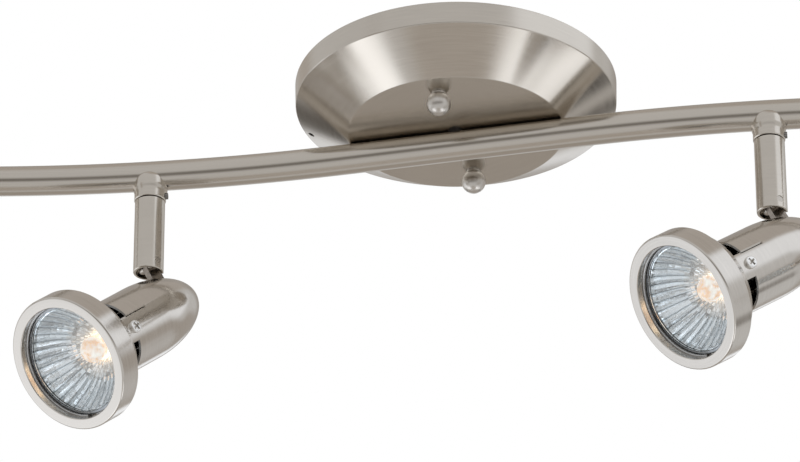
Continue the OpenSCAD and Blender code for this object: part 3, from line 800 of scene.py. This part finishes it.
def make_bezels():
    """The front ring, with its rear shoulder and two tongues."""
    out_r, in_r = BEZEL_R, OPENING_R
    tongue_r = HOUSING_IN - 0.1
    rim = LAMP_RECESS + 1.9
    outline = [(in_r, 0.3), (in_r + 0.3, 0), (out_r - 0.8, 0)]
    outline += arc(out_r - 0.8, 0.8, 0.8, -75, 0, 5)
    outline += [(out_r, BEZEL_H - 0.4), (out_r - 0.4, BEZEL_H)]
    outline += [(HOUSING_R + (out_r - 2.4 - HOUSING_R) * sin(radians(a)),
                 BEZEL_H - 0.6 + (COLLAR_BACK - BEZEL_H - 0.6) * cos(radians(a))) for a in range(60, -1, -5)]
    outline += [(HOUSING_R, COLLAR_BACK), (tongue_r, COLLAR_BACK), (tongue_r, VENT_BACK + 5)]
    outline += [(tongue_r - 1.1, VENT_BACK + 5), (tongue_r - 1.1, COLLAR_BACK - 1)]
    outline += [(HOUSING_R - 1 + (out_r - 3.8 - HOUSING_R) * sin(radians(a)),
                 BEZEL_H - 1.9 + (COLLAR_BACK - BEZEL_H - 0.9) * cos(radians(a))) for a in range(0, 61, 10)]
    outline += [(LAMP_R - 1.6, rim + 2.4), (LAMP_R - 1.6, rim + 0.1), (LAMP_R + 0.1, rim + 0.1)]
    outline += [(LAMP_R + 0.1, LAMP_RECESS - 0.2), (in_r + 0.6, LAMP_RECESS - 0.2)]
    outline += [(in_r + 0.6, LAMP_RECESS - 1.5), (in_r, LAMP_RECESS - 1.5), (in_r, 0.3)]
    bezel = turned("face_ring", outline, steps=192)
    leg = HOUSING_R * sin(radians(16.5))
    cut(bezel,
        block("window", (leg, -20, COLLAR_BACK - 0.4), (20, 20, 40)),
        block("window", (-20, -20, COLLAR_BACK - 0.4), (-leg, 20, 40)))
    soften(bezel, 0.1, angle=30, segments=2)
    mark_grain(bezel)
    return bezel


def make_reflectors():
    """The lamp's glass bowl: flutes and rings of small facets inside, and a smooth shell
    with a pinched base outside."""
    bowl = [(23.0, 1.9), (22.2, 3.0), (21.4, 4.4), (20.4, 6.2), (19.2, 8.2), (17.8, 10.2), (16.2, 12.2),
            (14.6, 13.9), (13.0, 15.4), (11.5, 16.7), (10.1, 17.8), (8.8, 18.8), (7.6, 19.8), (6.6, 20.9),
            (6.2, 23.0), (6.0, 26.0), (0, 26.0)]
    mirror = turned("mirror", [(LENS_R + 0.1, LENS_T + 0.3)] + bowl, steps=FLUTES * 4)
    for vertex in mirror.data.vertices:
        x, y = (vertex.co / MM).xy
        across, step = hypot(x, y), round(degrees(atan2(y, x)) * FLUTES * 4 / 360)
        if 14.0 < across < 22.8:
            swell = 0.026 * (1, 0.55, 0, 0.55)[step % 4]
        elif 6.4 < across < 14.0:
            ring = round((14.6 - across) / FACET)
            swell = 0.03 if (step // 2 + ring) % 2 else -0.02
        else:
            swell = 0
        vertex.co.x *= 1 + swell
        vertex.co.y *= 1 + swell
    shell = [(LENS_R + 0.1, LENS_T + 0.3), (LENS_R + 0.1, 0), (LAMP_R - 0.3, 0), (LAMP_R, 0.3), (LAMP_R, 1.9),
             (LAMP_R - 1.2, 2.1), (23.7, 3.0), (21.6, 7.2), (19.0, 11.4), (15.6, 15.6), (12.0, 19.4),
             (NECK_R, 22.4), (NECK_R, LAMP_L - 0.4), (NECK_R - 0.4, LAMP_L), (0, LAMP_L)]
    back = turned("shell", shell, steps=96)
    cut(back, block("pinch", (-20, NECK_R - 1.8, 24.5), (20, 20, 45)),
        block("pinch", (-20, -20, 24.5), (20, -NECK_R + 1.8, 45)))
    take(back)
    bpy.ops.object.shade_smooth_by_angle(angle=radians(35))
    back.data.materials.append(lamp_back)
    mirror.data.materials.append(mirror_coat)
    pins = [rod("pin", 0.75, LAMP_L - 0.5, LAMP_L + 7, sides=20, at=(x, 0, 0)) for x in (-2.65, 2.65)]
    lamp = join("reflector", back, mirror, *pins)
    lamp.data.transform(Matrix.Translation((0, 0, LAMP_RECESS * MM)))
    mark_grain(lamp)
    return lamp


def make_lenses():
    """The clear disc in front of each bowl."""
    low, high = LAMP_RECESS + 0.1, LAMP_RECESS + 0.1 + LENS_T
    outline = [(0, low), (LENS_R - 0.4, low), (LENS_R, low + 0.3), (LENS_R, high), (0, high)]
    lens = turned("front_glass", outline, steps=96)
    take(lens)
    bpy.ops.object.shade_smooth_by_angle(angle=radians(30))
    return lens


def make_capsules():
    """The frosted burner at the bottom of each bowl."""
    z = LAMP_RECESS + 14.0
    outline = arc(0, z, 5.6, -90, 30, 18) + [(4.6, z + 4.6), (4.6, z + 9.0), (2.4, z + 11.9), (0, z + 11.9)]
    capsule = turned("capsule", outline, steps=48)
    take(capsule)
    bpy.ops.object.shade_smooth_by_angle(angle=radians(40))
    return capsule


def make_clips():
    """The sprung wire that holds the glass in, open for a few degrees."""
    clear()
    bpy.ops.mesh.primitive_circle_add(vertices=20, radius=0.55 * MM, fill_type="NGON")
    clip = bpy.context.object
    clip.name = "spring_ring"
    clip.data.transform(Matrix.Rotation(radians(90), 4, "X"))
    clip.data.transform(Matrix.Translation(Vector((OPENING_R - 0.1, 0, LAMP_RECESS - 0.85)) * MM))
    clip.data.transform(Matrix.Rotation(radians(6), 4, "Z"))
    edit(clip)
    bpy.ops.mesh.select_all(action="SELECT")
    bpy.ops.mesh.spin(steps=140, angle=radians(348), center=(0, 0, 0), axis=(0, 0, 1))
    bpy.ops.mesh.select_all(action="SELECT")
    bpy.ops.mesh.remove_doubles(threshold=2e-6)
    bpy.ops.mesh.select_all(action="SELECT")
    bpy.ops.mesh.normals_make_consistent(inside=False)
    done()
    take(clip)
    bpy.ops.object.shade_smooth_by_angle(angle=radians(50))
    return clip


def make_side_screws():
    """A pan-head cross-recess screw through each side leg."""
    shank_r, head_r, shoulder = 1.45, 2.75, 0.5
    arm, half = 1.85, 0.46
    outline = [(0, -3.2), (shank_r, -3.2), (shank_r, 0), (head_r, 0), (head_r, 0.9)]
    outline += arc(head_r - shoulder, 0.9, shoulder, 0, 80, 6)
    outline += [(0, 1.5)]
    screw = turned("screw", outline, steps=64)
    cut(screw, block("cross", (-arm, -half, -0.1), (arm, half, 3)),
        block("cross", (-half, -arm, -0.1), (half, arm, 3)))
    screw.data.transform(Matrix.Rotation(radians(20), 4, "Z"))
    soften(screw, 0.06, angle=35, segments=2)
    mark_grain(screw)
    left = Matrix.Translation(Vector((0, -HOUSING_R, VENT_BACK)) * MM) @ Matrix.Rotation(radians(90), 4, "X")
    right = Matrix.Translation(Vector((0, HOUSING_R, VENT_BACK)) * MM) @ Matrix.Rotation(radians(-90), 4, "X")
    return join("side_screws", *copies(screw, [("a", left), ("b", right)]))


def place_heads(piece, node, material, slot):
    for i, copy in zip(HEADS, copies(piece, [(i, head_frame(i)) for i in HEADS])):
        fit(copy, "head_%d" % i, material, slot, "%s_%d" % (node, i))


place_heads(make_housings(), "housing", bright_nickel, "bright_nickel")
place_heads(make_bezels(), "bezel", bright_nickel, "bright_nickel")
place_heads(make_reflectors(), "lamp_reflector", None, "silvered_glass")
place_heads(make_lenses(), "lamp_lens", clear_glass, "clear_glass")
place_heads(make_capsules(), "lamp_capsule", lamp_glow, "lamp_glow")
place_heads(make_clips(), "retaining_ring", spring_steel, "spring_steel")
place_heads(make_side_screws(), "bezel_screws", screw_plate, "bright_nickel")

# ---------------------------------------------------------------- CAD pieces that stay
KEPT = {
    "cone_screw": dark_steel, "mounting_strap": zinc_plate, "canopy_studs": zinc_plate,
    # The centre nipple is zinc-plated steel; its near-black dark_steel is painted shade in the narrow gap
    # between bar and canopy.
    "centre_nipple": dark_steel, "nipple_nut": zinc_plate, "swivel_spigots": zinc_plate,
    "boss_set_screws": grub_steel, "supply_leads": lead_plastic, "wire_connectors": connector_plastic,
    "bar_leads": lead_plastic,
}
for i in HEADS:
    KEPT["pivot_screw_%d" % i] = pin_plate
    # The lugs' dark brown is painted shade.
    KEPT["pivot_lug_%d" % i] = lug_plate
    KEPT["socket_%d" % i] = ceramic
for node, material in KEPT.items():
    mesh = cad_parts[node].data
    mesh.materials.clear()
    mesh.materials.append(material)


# ---------------------------------------------------------------- stage and light
def make_world():
    world = bpy.data.worlds.new("studio")
    scene.world = world
    world.use_nodes = True
    tree = world.node_tree
    tree.nodes.clear()
    new, link = tree.nodes.new, tree.links.new
    out = new("ShaderNodeOutputWorld")
    where = new("ShaderNodeTexCoord")
    math = sums(tree)

    def card(turn, rise, wide, high, soft):
        """How much of a rectangular card is seen in a direction: 1 inside, 0 outside."""
        turned = new("ShaderNodeVectorRotate")
        turned.rotation_type = "EULER_XYZ"
        turned.invert = True
        turned.inputs["Rotation"].default_value = (radians(rise), 0, radians(turn))
        link(where.outputs["Generated"], turned.inputs["Vector"])
        parts = new("ShaderNodeSeparateXYZ")
        link(turned.outputs[0], parts.inputs[0])
        ahead = math("MAXIMUM", parts.outputs[1], 1e-4)
        seen = []
        for axis, half in ((0, wide), (2, high)):
            off = math("ABSOLUTE", math("DIVIDE", parts.outputs[axis], ahead))
            ease = new("ShaderNodeMapRange")
            ease.interpolation_type = "SMOOTHSTEP"
            ease.inputs["From Min"].default_value = half + soft
            ease.inputs["From Max"].default_value = half - soft
            link(off, ease.inputs["Value"])
            seen.append(ease.outputs["Result"])
        front = math("GREATER_THAN", parts.outputs[1], 0.0)
        return math("MULTIPLY", front, math("MULTIPLY", seen[0], seen[1]))

    base = new("ShaderNodeRGB")
    base.outputs[0].default_value = (0.65, 0.65, 0.65, 1)
    colour = base.outputs[0]
    for turn, rise, wide, high, soft, level, tint in STUDIO_CARDS:
        mix = new("ShaderNodeMix")
        mix.data_type = "RGBA"
        link(card(turn, rise, wide, high, soft), mix.inputs[0])
        link(colour, mix.inputs[6])
        mix.inputs[7].default_value = (*(level * part for part in tint), 1)
        colour = mix.outputs[2]
    studio = new("ShaderNodeBackground")
    link(colour, studio.inputs["Color"])
    fill = new("ShaderNodeBackground")
    fill.inputs["Color"].default_value = (0.9, 0.93, 1.0, 1)
    fill.inputs["Strength"].default_value = 0.75
    white = new("ShaderNodeBackground")
    white.inputs["Color"].default_value = (1, 1, 1, 1)
    rays = new("ShaderNodeLightPath")
    glossy = new("ShaderNodeMixShader")
    bent = math("MAXIMUM", rays.outputs["Is Glossy Ray"], rays.outputs["Is Transmission Ray"])
    link(bent, glossy.inputs[0])
    link(fill.outputs[0], glossy.inputs[1])
    link(studio.outputs[0], glossy.inputs[2])
    eye = new("ShaderNodeMixShader")
    link(rays.outputs["Is Camera Ray"], eye.inputs[0])
    link(glossy.outputs[0], eye.inputs[1])
    link(white.outputs[0], eye.inputs[2])
    link(eye.outputs[0], out.inputs["Surface"])


WARM = (1.0, 0.93, 0.86)
COOL = (1.0, 1.03, 1.08)
# Each card: turn about Z and rise in degrees of where it hangs, half width and height as
# tangents, softness of its edge, level, tint. Turn 0 is +Y, 90 is -X, -90 is +X, 180 is -Y.
# A later card covers an earlier one.
STUDIO_CARDS = [
    # Ceiling, walls and the ground
    (-60, 80, 0.6, 0.45, 0.1, 0.5, WARM),
    (-90, 35, 0.6, 0.35, 0.1, 1.0, COOL),
    (-60, 5, 0.35, 0.1, 0.05, 0.45, WARM),
    (-25, 10, 0.4, 0.2, 0.1, 0.45, WARM),
    (5, 35, 0.4, 0.4, 0.2, 0.4, WARM),
    (20, 55, 0.2, 0.2, 0.1, 0.4, WARM),
    (50, 30, 0.25, 0.45, 0.1, 0.5, WARM),
    (135, -5, 0.1, 0.5, 0.05, 0.45, WARM),
    (10, -35, 0.55, 0.45, 0.1, 0.45, WARM),
    (55, -30, 0.1, 0.25, 0.05, 0.35, WARM),
    # Bright lamps
    (0, 10, 0.1, 0.1, 0.05, 1.1, COOL),
    (80, -35, 0.25, 0.6, 0.05, 1.2, COOL),
    (80, -15, 0.3, 0.15, 0.05, 1.0, COOL),
    (80, -55, 0.15, 0.15, 0.05, 1.8, COOL),
    (-45, -45, 0.1, 0.15, 0.05, 1.7, COOL),
    (-60, -65, 0.2, 0.2, 0.05, 1.6, COOL),
    (25, 5, 0.15, 0.15, 0.05, 1.0, COOL),
    # Dark flags, and the dim side behind the viewer
    (-30, -30, 0.1, 0.1, 0.05, 0.05, WARM),
    (-15, -15, 0.1, 0.1, 0.05, 0.1, WARM),
    (-55, -15, 0.1, 0.1, 0.05, 0.25, WARM),
    (40, -10, 0.15, 0.15, 0.05, 0.1, WARM),
    (180, -20, 1.2, 0.2, 0.15, 0.2, WARM),
    (0, -90, 0.3, 0.3, 0.05, 0.5, WARM),
]
make_world()


def make_floor():
    """A pale floor that gloss looks through, and that can't be seen from below."""
    height, whiteness, glow_level = -1.7, 0.86, 0.35
    clear()
    bpy.ops.mesh.primitive_plane_add(size=12, location=(0, 0, height))
    floor = bpy.context.object
    floor.name = "floor"
    settle(floor)
    material, tree, shader = shader_of("floor_paint")
    new, link = tree.nodes.new, tree.links.new
    math = sums(tree)
    shader.inputs["Base Color"].default_value = (whiteness, whiteness, whiteness, 1)
    shader.inputs["Roughness"].default_value = 0.9
    rays, side = new("ShaderNodeLightPath"), new("ShaderNodeNewGeometry")
    glow = new("ShaderNodeEmission")
    glow.inputs["Color"].default_value = (1, 1, 1, 1)
    glow.inputs["Strength"].default_value = glow_level
    both = new("ShaderNodeAddShader")
    link(shader.outputs[0], both.inputs[0])
    link(glow.outputs[0], both.inputs[1])
    seen = new("ShaderNodeMixShader")
    link(math("MAXIMUM", rays.outputs["Is Camera Ray"], rays.outputs["Is Transmission Ray"]), seen.inputs[0])
    link(shader.outputs[0], seen.inputs[1])
    link(both.outputs[0], seen.inputs[2])
    clear_of_gloss = new("ShaderNodeMixShader")
    link(math("MAXIMUM", rays.outputs["Is Glossy Ray"], side.outputs["Backfacing"]), clear_of_gloss.inputs[0])
    link(seen.outputs[0], clear_of_gloss.inputs[1])
    link(new("ShaderNodeBsdfTransparent").outputs[0], clear_of_gloss.inputs[2])
    link(clear_of_gloss.outputs[0], tree.nodes["Material Output"].inputs["Surface"])
    floor.data.materials.append(material)


make_floor()


def lamp(name, place, size, power):
    """A rectangular lamp aimed at the fixture, seen neither directly nor in gloss."""
    data = bpy.data.lights.new(name, "AREA")
    data.shape = "RECTANGLE"
    data.size, data.size_y = size
    data.energy = power
    data.color = (0.95, 0.97, 1.0)
    light = bpy.data.objects.new(name, data)
    scene.collection.objects.link(light)
    light.location = place
    aim = Vector((0, 0, -0.05))
    light.rotation_euler = (Vector(place) - aim).to_track_quat("Z", "Y").to_euler()
    light.visible_camera = False
    light.visible_glossy = False


lamp("left_softbox", (-1.9, 0.3, -1.2), (1.0, 1.0), 4)
lamp("right_softbox", (1.0, 1.1, -1.5), (0.4, 0.4), 0.8)
lamp("top_softbox", (0.2, 1.2, 1.3), (1.6, 0.9), 5)

scene.view_settings.view_transform = "Standard"
